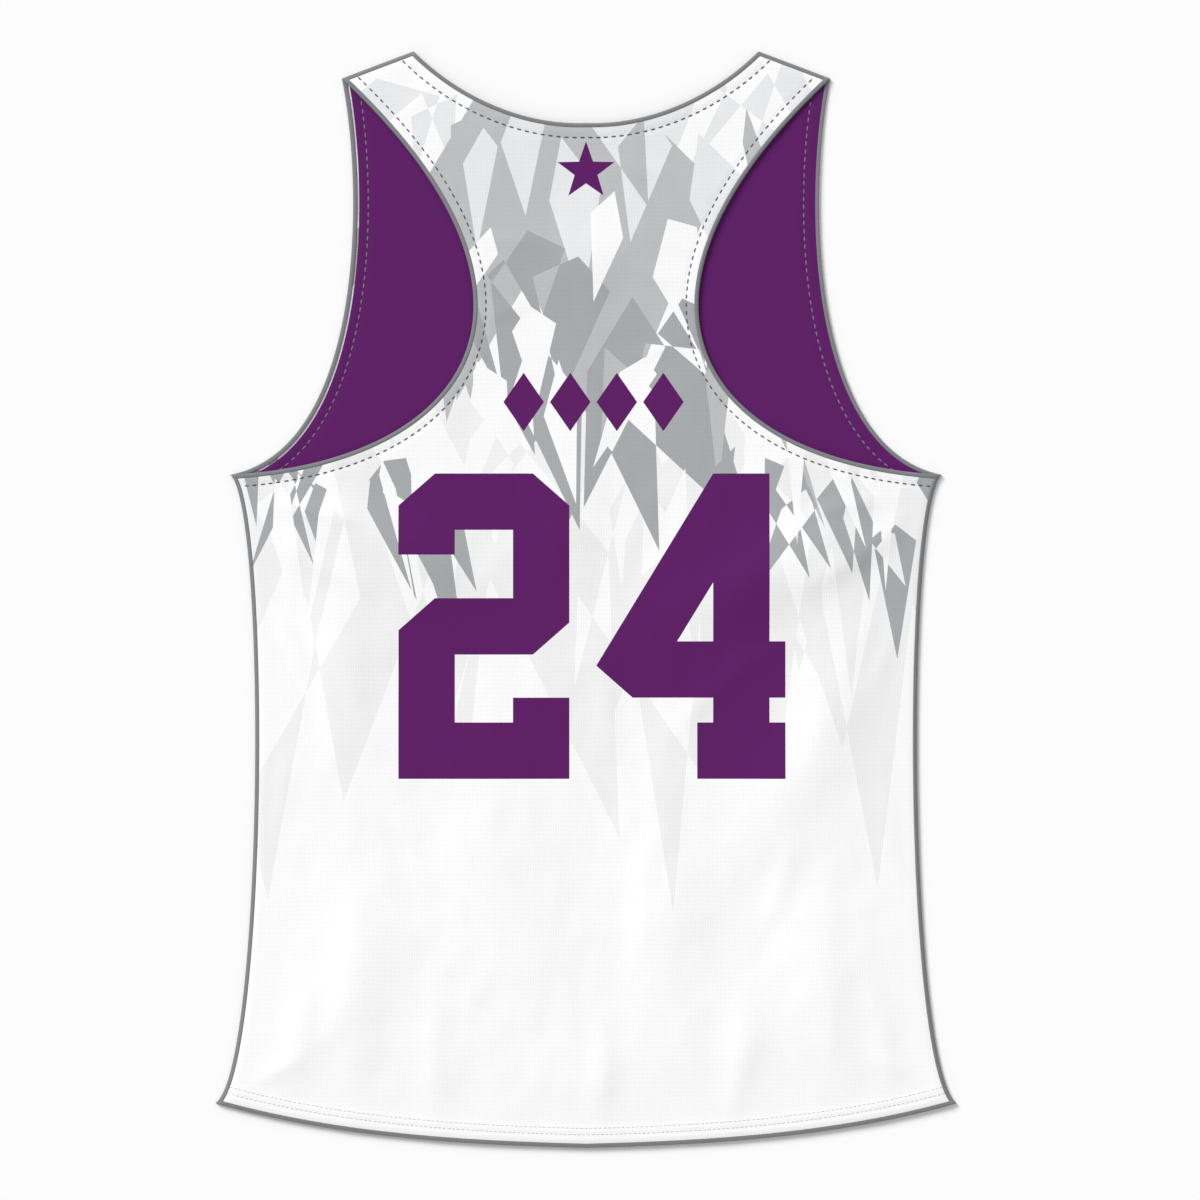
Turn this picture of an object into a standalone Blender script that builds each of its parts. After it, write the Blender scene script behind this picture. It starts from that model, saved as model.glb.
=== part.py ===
"""A reversible pinnie: a sleeveless sports top of two layers, laid flat with its back up.

Four panels lie on each other: the front's outer cloth at the bottom, the front's and the back's
inner cloth, and the back's outer cloth on top. The outer panels meet along the side and shoulder
seams, around the inner ones. Metres, +Z up, +Y from the hem towards the neck. The origin is on the
surface that the garment rests on, under the middle of its box.
"""
import math
from collections import namedtuple

import bmesh
import bpy
from mathutils import Vector
from mathutils.geometry import delaunay_2d_cdt

# ---- Driving sizes -------------------------------------------------------------------------

LENGTH = 0.730              # hem to the neck's end of the shoulder seam
WALL = 0.0010               # thickness of each panel
GAP = 0.0003                # between one panel and the next
STRIP = 0.008               # sewn strip along each edge, inside the topstitching
SEAM_INSET = 0.009          # how far inner cloth stays in from a side or shoulder seam
ROLL_INSET = 0.001          # how far the outer cloth rolls past the inner at neck and armholes
HEM_INSET = 0.004           # how much shorter the inner cloth is at the hem
OUTLINE_STEP = 0.016        # spacing of the points along an edge
SECTION_STEP = 0.018        # spacing of the sections across a panel that carries folds
SECTION_CLEAR = 0.012       # how far a section's points stay from the outline's
SEAM_FADE = 0.060           # folds die out over this distance from a side or shoulder seam
EDGE_FADE = 0.045           # and flatten over this one towards a free edge
EDGE_FOLD = 0.35            # share of a fold's height that is left at a free edge
FINE_STEPS = 200            # steps in which a curve's length is measured
CORNER_TURN = 0.2           # an outline that turns by more than this, as a sine, has a corner
INSET_SLACK = 0.98          # share of its inset that a moved point has to keep
SMOOTH_ANGLE = 35           # in degrees: sharper edges than this stay sharp
KEEP_INSIDE = 2             # the fill keeps only the triangles inside the outline
MERGE_DISTANCE = 1e-7

# How far each edge of an inner panel stays in from the outer one: hem, side, armhole, shoulder, neck.
INNER_INSETS = (HEM_INSET, SEAM_INSET, ROLL_INSET, SEAM_INSET, ROLL_INSET)

# Half outline, X from the centre line and Y up from the hem's lowest point. Each row is one edge:
# its two ends and, between them, the two handles that bend it.
Curve = namedtuple("Curve", "start handle_a handle_b end")

HEM_CORNER = (0.2465, 0.0295)
UNDERARM = (0.2365, 0.4480)
SHOULDER_TIP = (0.1625, 0.7120)
NECK_POINT = (0.1150, LENGTH)

HEM = Curve((0.0, 0.0), (0.082, 0.002), (0.167, 0.007), HEM_CORNER)
SIDE = Curve(HEM_CORNER, (0.215, 0.054), (0.212, 0.421), UNDERARM)
FRONT_ARMHOLE = Curve(UNDERARM, (0.146, 0.467), (0.148, 0.642), SHOULDER_TIP)
BACK_ARMHOLE = Curve(UNDERARM, (0.076, 0.457), (0.006, 0.565), SHOULDER_TIP)
SHOULDER = Curve(SHOULDER_TIP, (0.147, 0.718), (0.131, 0.724), NECK_POINT)
FRONT_NECK = Curve(NECK_POINT, (0.098, 0.660), (0.062, 0.622), (0.0, 0.622))
BACK_NECK = Curve(NECK_POINT, (0.085, 0.700), (0.043, 0.6805), (0.0, 0.682))

# Soft folds that stand in the back: the middle of the crest, its heading in degrees from +X, how far
# it runs, its half width and its height.
Fold = namedtuple("Fold", "x y heading length half_width height")

FOLDS = (
    Fold(-0.125, 0.400, 158, 0.230, 0.021, 0.0030),
    Fold(0.132, 0.385, 24, 0.250, 0.023, 0.0032),
    Fold(-0.150, 0.300, 128, 0.210, 0.024, 0.0024),
    Fold(0.150, 0.262, 60, 0.240, 0.025, 0.0026),
    Fold(-0.060, 0.205, 97, 0.300, 0.030, 0.0028),
    Fold(0.052, 0.165, 84, 0.260, 0.027, 0.0024),
    Fold(-0.152, 0.120, 80, 0.180, 0.024, 0.0022),
    Fold(0.158, 0.105, 101, 0.170, 0.024, 0.0024),
    Fold(-0.012, 0.430, 82, 0.170, 0.022, 0.0018),
    Fold(0.006, 0.595, 4, 0.120, 0.024, 0.0016),
)

# One row for each cut panel, from the bottom up: its armhole and neck, whether it is an outer
# panel, whether folds stand in it, and its material's colour and roughness.
Panel = namedtuple("Panel", "name armhole neck outer folded colour roughness")

WHITE_PRINT = (0.86, 0.86, 0.87, 1.0)
PURPLE = (0.117, 0.017, 0.133, 1.0)

PANELS = (
    Panel("front_outer", FRONT_ARMHOLE, FRONT_NECK, True, False, WHITE_PRINT, 0.72),
    Panel("front_inner", FRONT_ARMHOLE, FRONT_NECK, False, False, PURPLE, 0.70),
    Panel("back_inner", BACK_ARMHOLE, BACK_NECK, False, True, PURPLE, 0.70),
    Panel("back_outer", BACK_ARMHOLE, BACK_NECK, True, True, WHITE_PRINT, 0.72),
)


# ---- Outlines ------------------------------------------------------------------------------

def point_on(curve, t):
    """The point at t, from 0 to 1, on a cubic curve."""
    a, b, c, d = (Vector(corner) for corner in curve)
    s = 1.0 - t
    return a * s ** 3 + b * (3 * s * s * t) + c * (3 * s * t * t) + d * t ** 3


def points_along(curve):
    """Points from a curve's start up to, but without, its end, even but for a half step at each end."""
    fine = [point_on(curve, i / FINE_STEPS) for i in range(FINE_STEPS + 1)]
    reach = [0.0]
    for a, b in zip(fine, fine[1:]):
        reach.append(reach[-1] + (b - a).length)
    count = round(reach[-1] / OUTLINE_STEP)
    points, i = [fine[0]], 0
    for k in range(count):
        target = reach[-1] * (k + 0.5) / count
        while reach[i + 1] < target:
            i += 1
        points.append(fine[i].lerp(fine[i + 1], (target - reach[i]) / (reach[i + 1] - reach[i])))
    return points


def edges_of(panel):
    """The five edges of half a panel, anticlockwise from the middle of its hem."""
    return HEM, SIDE, panel.armhole, SHOULDER, panel.neck


def outline_of(panel, insets):
    """The panel's closed outline, anticlockwise, with the inset that each point's edge asks for."""
    right, depths = [], []
    for edge, inset in zip(edges_of(panel), insets):
        run = points_along(edge)
        right += run
        depths += [inset] * len(run)
    top = Vector(panel.neck.end)
    left = [Vector((-p.x, p.y)) for p in reversed(right[1:])]
    return right + [top] + left, depths + list(reversed(depths))


def inset_outline(panel, insets):
    """The panel's outline with each of its edges moved inward by that edge's inset."""
    moved = offset_inward(*outline_of(panel, insets))
    for edge, inset in zip(edges_of(panel), insets):
        sides = segments_of((edge,))
        moved = [point for point in moved if distance_to(point, sides) >= INSET_SLACK * inset]
    return moved


def offset_inward(points, depths):
    """Move every side of a closed outline inward by its own depth, and join the moved sides."""
    moved = []
    count = len(points)
    for i, here in enumerate(points):
        before, after = points[i - 1], points[(i + 1) % count]
        ahead_in = (here - before).normalized()
        ahead_out = (after - here).normalized()
        inward_in = Vector((-ahead_in.y, ahead_in.x))
        inward_out = Vector((-ahead_out.y, ahead_out.x))
        depth_in, depth_out = depths[i - 1], depths[i]
        turn = ahead_in.cross(ahead_out)
        if abs(turn) < CORNER_TURN:
            middle = (inward_in + inward_out).normalized()
            moved.append(here + middle * (0.5 * (depth_in + depth_out)))
        else:
            start = here + inward_in * depth_in
            gap = here + inward_out * depth_out - start
            moved.append(start + ahead_in * (gap.cross(ahead_out) / turn))
    return moved


def inside(point, outline):
    """Whether a point lies inside a closed outline."""
    hit = False
    for a, b in zip(outline, outline[1:] + outline[:1]):
        if (a.y > point.y) != (b.y > point.y):
            if point.x < a.x + (point.y - a.y) * (b.x - a.x) / (b.y - a.y):
                hit = not hit
    return hit


def distance_to(point, segments):
    """How far a point is from the nearest of some straight segments."""
    nearest = math.inf
    for a, b in segments:
        along = max(0.0, min(1.0, (point - a).dot(b - a) / (b - a).length_squared))
        nearest = min(nearest, (point - a.lerp(b, along)).length)
    return nearest


def segments_of(edges):
    """Both sides' straight segments along some edges."""
    found = []
    for edge in edges:
        run = points_along(edge) + [Vector(edge.end)]
        for a, b in zip(run, run[1:]):
            found.append((a, b))
            found.append((Vector((-a.x, a.y)), Vector((-b.x, b.y))))
    return found


# ---- Heights -------------------------------------------------------------------------------

def ease(value):
    """0 to 1 with a soft start and end."""
    value = max(0.0, min(1.0, value))
    return value * value * (3 - 2 * value)


def fold_height(point, seams, free_edges):
    """How high the folds lift the cloth at a point."""
    total = 0.0
    for fold in FOLDS:
        heading = math.radians(fold.heading)
        away = point - Vector((fold.x, fold.y))
        along = away.x * math.cos(heading) + away.y * math.sin(heading)
        across = away.y * math.cos(heading) - away.x * math.sin(heading)
        run = max(0.0, 1.0 - (2 * along / fold.length) ** 2)
        total += fold.height * run * run * math.exp(-(across / fold.half_width) ** 2)
    at_seam = ease((distance_to(point, seams) - SEAM_INSET) / SEAM_FADE)
    at_edge = EDGE_FOLD + (1 - EDGE_FOLD) * ease(distance_to(point, free_edges) / EDGE_FADE)
    return total * at_seam * at_edge


def underside(panel, layer, point, seams, free_edges):
    """The height of a panel's lower face at a point of its outline or of a section."""
    height = layer * (WALL + GAP)
    if panel.folded:
        height += fold_height(point, seams, free_edges)
    if panel.outer and layer:
        # The upper outer panel comes down to the lower one at the seams that join them.
        at_seam = WALL + GAP
        height = at_seam + (height - at_seam) * ease(distance_to(point, seams) / STRIP)
    return height


# ---- Panels --------------------------------------------------------------------------------

def section_points(ring):
    """Points on even sections across the area inside a ring, clear of the ring itself."""
    sides = list(zip(ring, ring[1:] + ring[:1]))
    columns = math.ceil(HEM_CORNER[0] / SECTION_STEP)
    found = []
    for row in range(1, math.ceil(LENGTH / SECTION_STEP)):
        for column in range(-columns, columns + 1):
            point = Vector((column * SECTION_STEP, row * SECTION_STEP))
            if inside(point, ring) and distance_to(point, sides) > SECTION_CLEAR:
                found.append(point)
    return found


def panel_mesh(panel, layer):
    """One closed solid: the panel's outline, its sewn strip and its sections, on both faces."""
    outline = inset_outline(panel, (0.0,) * 5 if panel.outer else INNER_INSETS)
    border = [(i, (i + 1) % len(outline)) for i in range(len(outline))]
    points = list(outline)
    if panel.folded:
        points += inset_outline(panel, (STRIP,) * 5) if panel.outer else []
        points += section_points(inset_outline(panel, INNER_INSETS))
    flat, _, faces, *_ = delaunay_2d_cdt(points, border, [], KEEP_INSIDE, MERGE_DISTANCE)

    seams = segments_of((SIDE, SHOULDER))
    free_edges = segments_of((HEM, panel.armhole, panel.neck))
    centre = Vector((0.0, LENGTH / 2))
    mesh = bmesh.new()
    lower, upper = [], []
    for point in flat:
        height = underside(panel, layer, point, seams, free_edges)
        place = point - centre
        lower.append(mesh.verts.new((place.x, place.y, height)))
        upper.append(mesh.verts.new((place.x, place.y, height + WALL)))
    for face in faces:
        mesh.faces.new([upper[i] for i in face])
        mesh.faces.new([lower[i] for i in reversed(face)])
    for i in range(len(outline)):
        j = (i + 1) % len(outline)
        mesh.faces.new((lower[i], lower[j], upper[j], upper[i]))
    return mesh


def cloth_material(panel):
    """A matt cloth in the panel's colour."""
    material = bpy.data.materials.new(panel.name + "_cloth")
    material.use_nodes = True
    shader = material.node_tree.nodes["Principled BSDF"]
    shader.inputs["Base Color"].default_value = panel.colour
    shader.inputs["Roughness"].default_value = panel.roughness
    shader.inputs["Metallic"].default_value = 0.0
    material.diffuse_color = panel.colour
    return material


def build_panel(panel, layer):
    """Cut one panel and lay it on the ones below it."""
    mesh = bpy.data.meshes.new(panel.name)
    solid = panel_mesh(panel, layer)
    solid.to_mesh(mesh)
    solid.free()
    mesh.shade_smooth()
    mesh.set_sharp_from_angle(angle=math.radians(SMOOTH_ANGLE))
    mesh.materials.append(cloth_material(panel))
    bpy.context.scene.collection.objects.link(bpy.data.objects.new(panel.name, mesh))


def main():
    for old in list(bpy.data.objects):
        bpy.data.objects.remove(old, do_unlink=True)
    for layer, panel in enumerate(PANELS):
        build_panel(panel, layer)


main()
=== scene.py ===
"""The looks of a reversible pinnie, laid flat with its racer back up, around its packed panels."""

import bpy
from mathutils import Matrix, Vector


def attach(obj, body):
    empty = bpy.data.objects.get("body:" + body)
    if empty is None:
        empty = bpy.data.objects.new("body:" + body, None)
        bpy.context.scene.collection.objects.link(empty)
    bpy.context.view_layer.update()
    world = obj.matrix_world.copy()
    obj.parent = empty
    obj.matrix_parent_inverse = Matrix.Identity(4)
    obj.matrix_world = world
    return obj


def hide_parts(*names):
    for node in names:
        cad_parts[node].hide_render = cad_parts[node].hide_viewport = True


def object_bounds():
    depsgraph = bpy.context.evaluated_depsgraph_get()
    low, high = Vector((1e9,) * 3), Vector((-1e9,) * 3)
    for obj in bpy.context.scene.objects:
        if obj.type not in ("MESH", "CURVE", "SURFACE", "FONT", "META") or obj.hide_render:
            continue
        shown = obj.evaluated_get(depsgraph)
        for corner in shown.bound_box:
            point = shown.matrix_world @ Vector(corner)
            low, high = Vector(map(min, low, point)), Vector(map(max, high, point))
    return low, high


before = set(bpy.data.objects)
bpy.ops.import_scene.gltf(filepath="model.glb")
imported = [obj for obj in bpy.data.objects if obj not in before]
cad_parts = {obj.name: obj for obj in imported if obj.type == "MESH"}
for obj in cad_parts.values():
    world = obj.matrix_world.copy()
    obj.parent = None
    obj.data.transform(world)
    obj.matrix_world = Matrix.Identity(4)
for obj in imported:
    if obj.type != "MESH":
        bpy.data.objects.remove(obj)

import copy
import math
import random
from collections import namedtuple
from functools import partial

import bpy
import numpy as np
from mathutils import Vector, kdtree, noise
from mathutils.geometry import delaunay_2d_cdt

CAD_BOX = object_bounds()
MM = 0.001

# ---- Sizes ----

LENGTH = CAD_BOX[1].y - CAD_BOX[0].y  # hem to the neck's end of the shoulder seam
CENTRE_Y = LENGTH / 2
WALL = 1.0 * MM        # thickness of each packed panel
GAP = 0.3 * MM         # between one panel and the next
CLOTH = 0.6 * MM       # thickness of the cloth shown
UNDERSIDE = 0.40 * MM  # the front's outer face, held off the floor by its border

# Half outline, X from the centre line and Y up from the hem's lowest point. Each edge has two ends
# and, between them, the two handles that bend it.
Curve = namedtuple("Curve", "start handle_a handle_b end")

HEM_CORNER = (0.2465, 0.0295)
UNDERARM = (0.2365, 0.4480)
SHOULDER_TIP = (0.1625, 0.7120)
NECK_POINT = (0.1150, 0.7300)

HEM = Curve((0.0, 0.0), (0.082, 0.002), (0.167, 0.007), HEM_CORNER)
SIDE = Curve(HEM_CORNER, (0.215, 0.054), (0.212, 0.421), UNDERARM)
FRONT_ARMHOLE = Curve(UNDERARM, (0.146, 0.467), (0.148, 0.642), SHOULDER_TIP)
BACK_ARMHOLE = Curve(UNDERARM, (0.076, 0.457), (0.006, 0.565), SHOULDER_TIP)
SHOULDER = Curve(SHOULDER_TIP, (0.147, 0.718), (0.131, 0.724), NECK_POINT)
FRONT_NECK = Curve(NECK_POINT, (0.098, 0.660), (0.062, 0.622), (0.0, 0.622))
BACK_NECK = Curve(NECK_POINT, (0.085, 0.700), (0.043, 0.6805), (0.0, 0.682))

# How far in each panel is cut at its edges. A sliver of the outer cloth shows past the lining at the
# front's left armhole.
Insets = namedtuple("Insets", "hem side left_armhole right_armhole shoulder neck")

OUTER_INSETS = Insets(*[0.0005] * 6)
BACK_LINING_INSETS = Insets(0.004, 0.009, 0.0012, 0.0012, 0.009, 0.0012)
FRONT_LINING_INSETS = Insets(0.004, 0.009, 0.0039, 0.0024, 0.004, 0.0012)

# How far in from its edge each row of stitches runs.
Row = namedtuple("Row", "edge depth")

BACK_ROWS = (Row("armhole", 8.0 * MM), Row("neck", 9.4 * MM))
FRONT_ROWS = (Row("armhole", 10.0 * MM), Row("neck", 9.4 * MM))
HEM_ROWS = (Row("hem", 8.6 * MM), Row("hem", 12.9 * MM))

EDGE_NAMES = ("hem", "side", "armhole", "shoulder", "neck")
SEAMS = ("side", "shoulder")
PRESSED_EDGES = ("side", "shoulder", "hem")
FREE_EDGES = ("hem", "armhole", "neck")
BACK_EDGES = (HEM, SIDE, BACK_ARMHOLE, SHOULDER, BACK_NECK)
FRONT_EDGES = (HEM, SIDE, FRONT_ARMHOLE, SHOULDER, FRONT_NECK)

# Soft folds that stand in the back: the middle of the crest, its heading in degrees from +X, how
# far it runs, its half width, its height and how far its ends bend to one side.
Fold = namedtuple("Fold", "x y heading length half_width height bend", defaults=(0.0,))

FOLDS = [Fold(*row) for row in (
    (-0.125, 0.400, 158, 0.230, 0.021, 0.0030),
    (0.132, 0.385, 24, 0.250, 0.023, 0.0032),
    (-0.150, 0.300, 128, 0.210, 0.024, 0.0024),
    (0.150, 0.262, 60, 0.240, 0.025, 0.0026),
    (-0.060, 0.205, 97, 0.300, 0.030, 0.0028),
    (0.052, 0.165, 84, 0.260, 0.027, 0.0024),
    (-0.152, 0.120, 80, 0.180, 0.024, 0.0022),
    (0.158, 0.105, 101, 0.170, 0.024, 0.0024),
    (-0.012, 0.430, 82, 0.170, 0.022, 0.0018),
    (0.006, 0.595, 4, 0.120, 0.024, 0.0016),
)]

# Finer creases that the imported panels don't have: pulls from the underarms and shoulders, slack
# across the back and flutes that rise from the hem.
CREASES = [Fold(*row) for row in (
    (-0.178, 0.424, 167, 0.100, 0.0060, 0.0010, 0.005),
    (-0.186, 0.392, 148, 0.125, 0.0075, 0.0012, -0.008),
    (-0.203, 0.347, 122, 0.090, 0.0065, 0.0009, 0.006),
    (0.174, 0.428, 11, 0.090, 0.0055, 0.0009, -0.004),
    (0.188, 0.398, 35, 0.140, 0.0080, 0.0013, 0.009),
    (0.205, 0.338, 62, 0.080, 0.0060, 0.0008, -0.005),
    (-0.058, 0.556, 14, 0.060, 0.0055, 0.0008, 0.003),
    (-0.050, 0.604, -9, 0.052, 0.0050, 0.0006, -0.003),
    (0.056, 0.578, -15, 0.064, 0.0060, 0.0009, 0.004),
    (0.049, 0.532, 23, 0.050, 0.0050, 0.0006, 0.002),
    (-0.116, 0.690, 52, 0.062, 0.0060, 0.0007, 0.004),
    (0.121, 0.686, 126, 0.056, 0.0055, 0.0007, -0.003),
    (0.030, 0.652, 171, 0.080, 0.0070, 0.0007, 0.004),
    (-0.092, 0.352, 138, 0.150, 0.0090, 0.0010, 0.011),
    (0.094, 0.312, 39, 0.135, 0.0085, 0.0009, -0.010),
    (0.016, 0.290, 97, 0.160, 0.0090, 0.0008, 0.008),
    (-0.205, 0.232, 76, 0.125, 0.0080, 0.0009, 0.005),
    (0.207, 0.205, 104, 0.140, 0.0085, 0.0010, -0.006),
    (-0.118, 0.208, 112, 0.110, 0.0080, 0.0007, -0.007),
    (0.128, 0.170, 71, 0.120, 0.0080, 0.0008, 0.006),
    (-0.190, 0.074, 84, 0.105, 0.0095, 0.0011, 0.003),
    (-0.101, 0.052, 93, 0.130, 0.0105, 0.0012, -0.004),
    (0.012, 0.046, 88, 0.115, 0.0100, 0.0011, 0.003),
    (0.103, 0.058, 83, 0.135, 0.0110, 0.0013, 0.005),
    (0.196, 0.080, 99, 0.095, 0.0090, 0.0010, -0.003),
    (-0.208, 0.050, 24, 0.060, 0.0060, 0.0007, 0.002),
    (0.206, 0.053, 157, 0.052, 0.0055, 0.0006, -0.002),
)]

# ---- Mesh fineness ----

FINE_SAMPLES = 801      # points that a curve's length is read from
SAMPLE_STEP = 0.5 * MM  # how finely an outline is measured
EDGE_STEP = 2.5 * MM    # points along an edge and along a print's border
PRINT_CLEAR = 1.4 * MM  # free points stay this far from a print's border
RING_DEPTHS = tuple(depth * MM for depth in (1.4, 2.8, 4.4, 6.2, 8.0, 9.4, 11.0, 12.6))
GRID_START = 14.0 * MM  # the even grid begins this far in from the edge
RING_KEEP = 0.97        # a ring's points stay where no edge is nearer than this share of its depth
CUT_KEEP = 0.985        # and an outline's if none is nearer than this share of its inset
MERGED = 1e-7           # points nearer than this become one
SHARP_ANGLE = 50        # cloth's edges steeper than this, in degrees, stay sharp

# ---- Colours ----

def from_display(*levels):
    """A linear colour from display levels of 0 to 255."""
    steps = [level / 255 for level in levels]
    return tuple(s / 12.92 if s <= 0.04045 else ((s + 0.055) / 1.055) ** 2.4 for s in steps) + (1.0,)


WHITE = (0.955, 0.955, 0.96, 1.0)
PURPLE = from_display(93, 30, 100)
MID_GREY = from_display(189, 190, 192)
LIGHT_GREY = from_display(231, 232, 234)
DARK_GREY = from_display(167, 170, 172)
PALE_GREY = from_display(240, 240, 241)
EDGE_GREY = from_display(129, 131, 134)
STITCH_GREY = from_display(97, 97, 101)
HEM_THREAD = from_display(226, 226, 228)


# ---- Outlines ----

def point_on(curve, t):
    """The points at each t, from 0 to 1, on a cubic curve."""
    a, b, c, d = (np.array(corner) for corner in curve)
    t = np.asarray(t)[:, None]
    s = 1.0 - t
    return a * s ** 3 + b * (3 * s * s * t) + c * (3 * s * t * t) + d * t ** 3


def evenly(curve, step):
    """Evenly spaced points from a curve's start up to, but without, its end."""
    fine = point_on(curve, np.linspace(0, 1, FINE_SAMPLES))
    reach = np.r_[0, np.cumsum(np.linalg.norm(np.diff(fine, axis=0), axis=1))]
    count = max(2, round(reach[-1] / step))
    target = reach[-1] * np.arange(count) / count
    return np.stack([np.interp(target, reach, fine[:, k]) for k in (0, 1)], axis=1)


def left_of(ahead):
    """The directions a quarter turn to the left of some others."""
    return np.c_[-ahead[:, 1], ahead[:, 0]]


def search_tree(places, numbers):
    """A tree that finds the nearest of some places, and gives its number."""
    tree = kdtree.KDTree(len(places))
    for (x, y), number in zip(places, numbers):
        tree.insert((x, y, 0.0), int(number))
    tree.balance()
    return tree


class Outline:
    """A panel's closed outline, anticlockwise, centred on the garment's box."""

    def __init__(self, edges):
        right = [evenly(edge, SAMPLE_STEP) for edge in edges]
        names = [name for name, run in zip(EDGE_NAMES, right) for _ in run]
        half = np.concatenate(right)
        top = np.array([edges[-1].end])
        left = half[1:][::-1] * (-1, 1)
        self.points = np.concatenate([half, top, left]) - (0, CENTRE_Y)
        self.names = np.array(names + [EDGE_NAMES[-1]] + names[1:][::-1])
        after = np.roll(self.points, -1, axis=0) - np.roll(self.points, 1, axis=0)
        after /= np.linalg.norm(after, axis=1)[:, None]
        self.inward = left_of(after)
        steps = np.linalg.norm(np.roll(self.points, -1, axis=0) - self.points, axis=1)
        self.along = np.r_[0, np.cumsum(steps)[:-1]]
        self.trees = {}

    def tree(self, names):
        """A search tree over the samples on some edges."""
        if names not in self.trees:
            chosen = np.flatnonzero(np.isin(self.names, names))
            self.trees[names] = search_tree(self.points[chosen], chosen)
        return self.trees[names]

    def nearest(self, places, names=EDGE_NAMES):
        """The distance to some edges, and the nearest sample on them, for each place."""
        tree = self.tree(names)
        _, samples, distances = zip(*(tree.find((x, y, 0.0)) for x, y in places))
        return np.array(distances), np.array(samples)

    def holds(self, places, every=8):
        """Which places lie inside the outline, by one sample in so many."""
        return inside(places, self.points[::every])

    def ring(self, depth, step):
        """Points along a line that runs at some depth inside the outline."""
        stride = max(1, round(step / SAMPLE_STEP))
        moved = self.points[::stride] + self.inward[::stride] * depth
        distance, _ = self.nearest(moved)
        return moved[distance > RING_KEEP * depth]


def inside(places, loop):
    """Which places lie inside a closed loop."""
    x, y = places[:, 0], places[:, 1]
    hit = np.zeros(len(places), bool)
    for (ax, ay), (bx, by) in zip(loop, np.roll(loop, -1, axis=0)):
        if ay == by:
            continue
        crosses = (ay > y) != (by > y)
        hit ^= crosses & (x < ax + (y - ay) * (bx - ax) / (by - ay))
    return hit


BACK = Outline(BACK_EDGES)
FRONT = Outline(FRONT_EDGES)
FRONT_OUTER, FRONT_INNER, BACK_INNER, BACK_OUTER = range(4)


# ---- Heights ----

# How folds and layers sink towards the edges.
TURN = 7.0 * MM        # the upper cloth comes down to a seam over this distance
PRESSED = 0.66         # share of the layers' height left at a seam or the hem
PRESS_REACH = 70 * MM  # how far in from there the layers are pressed
HEM_DROOP = 0.9 * MM   # the back's hem sinks by this past the linings' edges
DROOP_RUN = 6.0 * MM   # over this distance
FOLD_INSET = 9 * MM    # folds end this far in from a seam
SEAM_FADE = 60 * MM    # and sink towards it over this distance
CREASE_FADE = 22 * MM  # and creases over this one
EDGE_FADE = 45 * MM    # towards a free edge folds sink to a share of
EDGE_FOLD = 0.35       # their height

# The turned and stitched edges.
STRIP_HEIGHT = 0.22 * MM  # a turned strip stands this much higher
STRIP_RISE = 1.5 * MM     # from the edge over this distance
STRIP_END = 2.5 * MM      # and sinks to its stitches over this one
STRIP_GROOVE = 0.30 * MM  # how deep the stitches pull it down
STRIP_GROOVE_WIDTH = 1.3 * MM
HEM_DEPTH = 15.0 * MM     # how far the hem is turned up
HEM_HEIGHT = 0.40 * MM
HEM_END = 1.2 * MM
HEM_GROOVE = 0.28 * MM
HEM_GROOVE_WIDTH = 1.1 * MM
PUCKER_REACH = 7 * MM     # how far puckers spread from their stitches
PUCKERS_A_METRE = 115
PUCKER_SPOT = (3.1, 0.4)  # where in the noise they lie
BACK_PUCKER = 0.30 * MM
FRONT_PUCKER = 0.12 * MM

# How the front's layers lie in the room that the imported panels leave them.
LIFT_END = 8.5 * MM      # the outer cloth rises to its sewn edge from here
LIFT_RUN = 4.0 * MM      # over this distance
LIFT_CLEAR = 0.1 * MM    # and stops this far under the lining
SLACK = 0.36             # the lining takes up this share of the room
SLACK_FADE = 20 * MM     # sinking towards a sewn edge over this distance
LAYER_CLEAR = 0.03 * MM  # and keeps this far below the back's lining

# Small uneven waves: their place in the noise, how high they stand and how far apart.
Ripples = namedtuple("Ripples", "seed height spread")

BACK_WAVES = Ripples(1.0, 0.9 * MM, 45 * MM)
BACK_RIPPLES = Ripples(5.0, 0.35 * MM, 16 * MM)
LINING_RIPPLES = Ripples(9.0, 0.72, 30 * MM)  # its height is a share of the room
RIPPLE_STRAY = (6, 5)  # how often in a metre ripples stray, across and along
RIPPLE_STRETCH = 1.6   # how much longer they are along the garment
SECOND_SPOT = 7.0      # their place in the noise, past that of their stray


def ease(value):
    """0 to 1 with a soft start and end."""
    value = np.clip(value, 0.0, 1.0)
    return value * value * (3 - 2 * value)


def bell(offset, half_width):
    """1 on a line, and softly down to 0 on both sides of it."""
    return np.exp(-(offset / half_width) ** 2)


def rolled(distance):
    """The share of its height that cloth keeps near a seam, rounded like a roll's side."""
    fall = 1 - np.clip(distance / TURN, 0, 1)
    return np.sqrt(1 - fall * fall)


def panel_top(layer):
    """The upper face of a packed panel, without its folds."""
    return layer * (WALL + GAP) + WALL


def fold_heights(places, folds):
    """How high some folds stand at each place."""
    total = np.zeros(len(places))
    for fold in folds:
        heading = math.radians(fold.heading)
        x = places[:, 0] - fold.x
        y = places[:, 1] + CENTRE_Y - fold.y
        along = x * math.cos(heading) + y * math.sin(heading)
        across = y * math.cos(heading) - x * math.sin(heading)
        across -= fold.bend * (2 * along / fold.length) ** 2
        run = np.maximum(0.0, 1.0 - (2 * along / fold.length) ** 2)
        total += fold.height * run * run * bell(across, fold.half_width)
    return total


def ripple_heights(places, kind):
    """How high some ripples stand at each place."""
    long = RIPPLE_STRETCH * kind.spread
    found = []
    for x, y in places:
        stray = noise.noise((x * RIPPLE_STRAY[0], y * RIPPLE_STRAY[1], kind.seed))
        found.append(noise.noise((x / kind.spread + stray, y / long, kind.seed + SECOND_SPOT)))
    return kind.height * np.array(found)


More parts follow.
